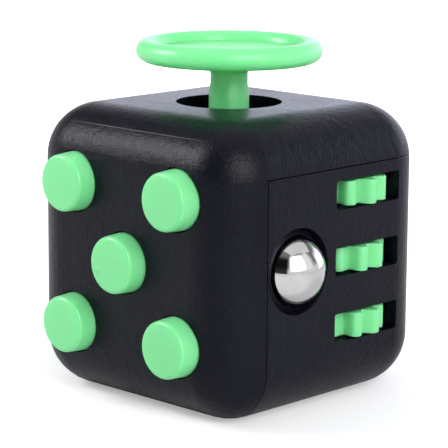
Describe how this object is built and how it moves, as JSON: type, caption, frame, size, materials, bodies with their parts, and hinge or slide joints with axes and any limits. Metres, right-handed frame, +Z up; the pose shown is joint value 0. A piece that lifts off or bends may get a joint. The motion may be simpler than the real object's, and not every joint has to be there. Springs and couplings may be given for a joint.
{
  "type": "fidget cube",
  "caption": "Pocket fidget cube: buttons, thumb wheels, a steel ball, a thumb stick, a spin dial, a flip rocker and a thumb dish on the faces of a rounded two-part black case.",
  "frame": {"origin": "centre of the case's underside, on the surface it stands on", "axes": "+Z up out of the thumb stick's face; -Y out of the button face; +X out of the wheel and ball face; +Y out of the rocker face; -X out of the dial face"},
  "size_m": [0.0379, 0.0374, 0.0401],
  "materials": {
    "black_plastic": "satin moulded ABS",
    "green_plastic": "soft-gloss mint green ABS",
    "green_silicone": "matt silicone",
    "natural_nylon": "natural nylon",
    "circuit_board": "solder-masked glass fibre board",
    "spring_steel": "zinc or bright steel",
    "polished_steel": "mirror-polished ball"
  },
  "bodies": {
    "case": {"front_shell": "black_plastic", "rear_shell": "black_plastic", "joystick_housing": "black_plastic", "ball_switch": "black_plastic", "ball_plug": "black_plastic", "rocker_housing": "black_plastic", "click_switch_centre": "black_plastic", "click_switch_top_left": "black_plastic", "click_switch_bottom_right": "black_plastic", "silent_pad_top_right": "green_silicone", "silent_pad_bottom_left": "green_silicone", "wheel_bracket": "natural_nylon", "switch_board": "circuit_board", "board_screw_1": "spring_steel", "board_screw_2": "spring_steel", "joystick_spring": "spring_steel", "housing_screw_1": "spring_steel", "housing_screw_2": "spring_steel", "housing_screw_3": "spring_steel", "wheel_axle": "spring_steel", "wheel_click_spring": "spring_steel", "bracket_screw_1": "spring_steel", "bracket_screw_2": "spring_steel", "rocker_pin": "spring_steel", "rocker_leaf_spring": "spring_steel", "rocker_screw_1": "spring_steel", "rocker_screw_2": "spring_steel"},
    "button_centre": {"button_centre": "green_plastic", "switch_plunger_centre": "natural_nylon"},
    "button_top_left": {"button_top_left": "green_plastic", "switch_plunger_top_left": "natural_nylon"},
    "button_top_right": {"button_top_right": "green_plastic"},
    "button_bottom_left": {"button_bottom_left": "green_plastic"},
    "button_bottom_right": {"button_bottom_right": "green_plastic", "switch_plunger_bottom_right": "natural_nylon"},
    "stick_ring": {"gimbal_ring": "natural_nylon"},
    "stick": {"joystick_cap": "green_plastic", "joystick_dome": "black_plastic", "joystick_screw": "spring_steel"},
    "wheel_top": {"thumb_wheel_top": "green_plastic"},
    "wheel_middle": {"thumb_wheel_middle": "green_plastic"},
    "wheel_bottom": {"thumb_wheel_bottom": "green_plastic"},
    "ball_carrier": {"ball_cup": "natural_nylon", "ball_switch_plunger": "natural_nylon"},
    "ball": {"roller_ball": "polished_steel"},
    "dial": {"spin_dial": "green_plastic", "dial_washer": "spring_steel", "dial_screw": "spring_steel"},
    "rocker": {"flip_rocker": "green_plastic"}
  },
  "joints": [
    {"name": "press_centre", "type": "slide", "parent": "case", "child": "button_centre", "axis": [0, 1, 0], "range_m": [0, 0.0008], "stiffness_N_per_m": 700, "springref_m": -0.001},
    {"name": "press_top_left", "type": "slide", "parent": "case", "child": "button_top_left", "axis": [0, 1, 0], "range_m": [0, 0.0008], "stiffness_N_per_m": 700, "springref_m": -0.001},
    {"name": "press_top_right", "type": "slide", "parent": "case", "child": "button_top_right", "axis": [0, 1, 0], "range_m": [0, 0.0008], "stiffness_N_per_m": 400, "springref_m": -0.001, "deforming": ["silent_pad_top_right"]},
    {"name": "press_bottom_left", "type": "slide", "parent": "case", "child": "button_bottom_left", "axis": [0, 1, 0], "range_m": [0, 0.0008], "stiffness_N_per_m": 400, "springref_m": -0.001, "deforming": ["silent_pad_bottom_left"]},
    {"name": "press_bottom_right", "type": "slide", "parent": "case", "child": "button_bottom_right", "axis": [0, 1, 0], "range_m": [0, 0.0008], "stiffness_N_per_m": 700, "springref_m": -0.001},
    {"name": "stick_tilt_fore_aft", "type": "hinge", "parent": "case", "child": "stick_ring", "pos_m": [0, 0, 0.0235], "axis": [1, 0, 0], "range_deg": [-12, 12], "stiffness_Nm_per_rad": 0.03, "deforming": ["joystick_spring"]},
    {"name": "stick_tilt_sideways", "type": "hinge", "parent": "stick_ring", "child": "stick", "pos_m": [0, 0, 0.0235], "axis": [0, 1, 0], "range_deg": [-12, 12], "stiffness_Nm_per_rad": 0.03, "deforming": ["joystick_spring"]},
    {"name": "spin_wheel_top", "type": "hinge", "parent": "case", "child": "wheel_top", "pos_m": [0.0125, 0.00535, 0.0242], "axis": [0, 0, 1], "continuous": true, "deforming": ["wheel_click_spring"]},
    {"name": "spin_wheel_middle", "type": "hinge", "parent": "case", "child": "wheel_middle", "pos_m": [0.0125, 0.00535, 0.0167], "axis": [0, 0, 1], "continuous": true, "deforming": ["wheel_click_spring"]},
    {"name": "spin_wheel_bottom", "type": "hinge", "parent": "case", "child": "wheel_bottom", "pos_m": [0.0125, 0.00535, 0.0092], "axis": [0, 0, 1], "continuous": true, "deforming": ["wheel_click_spring"]},
    {"name": "ball_press", "type": "slide", "parent": "case", "child": "ball_carrier", "axis": [-1, 0, 0], "range_m": [0, 0.0006], "stiffness_N_per_m": 700, "springref_m": -0.001},
    {"name": "ball_roll", "type": "hinge", "parent": "ball_carrier", "child": "ball", "pos_m": [0.01515, -0.0061, 0.0167], "axis": [0, 0, 1], "continuous": true},
    {"name": "dial_spin", "type": "hinge", "parent": "case", "child": "dial", "pos_m": [-0.0165, 0, 0.0167], "axis": [-1, 0, 0], "continuous": true},
    {"name": "rocker_flip", "type": "hinge", "parent": "case", "child": "rocker", "pos_m": [0, 0.014, 0.0167], "axis": [1, 0, 0], "range_deg": [0, 20], "deforming": ["rocker_leaf_spring"]}
  ]
}
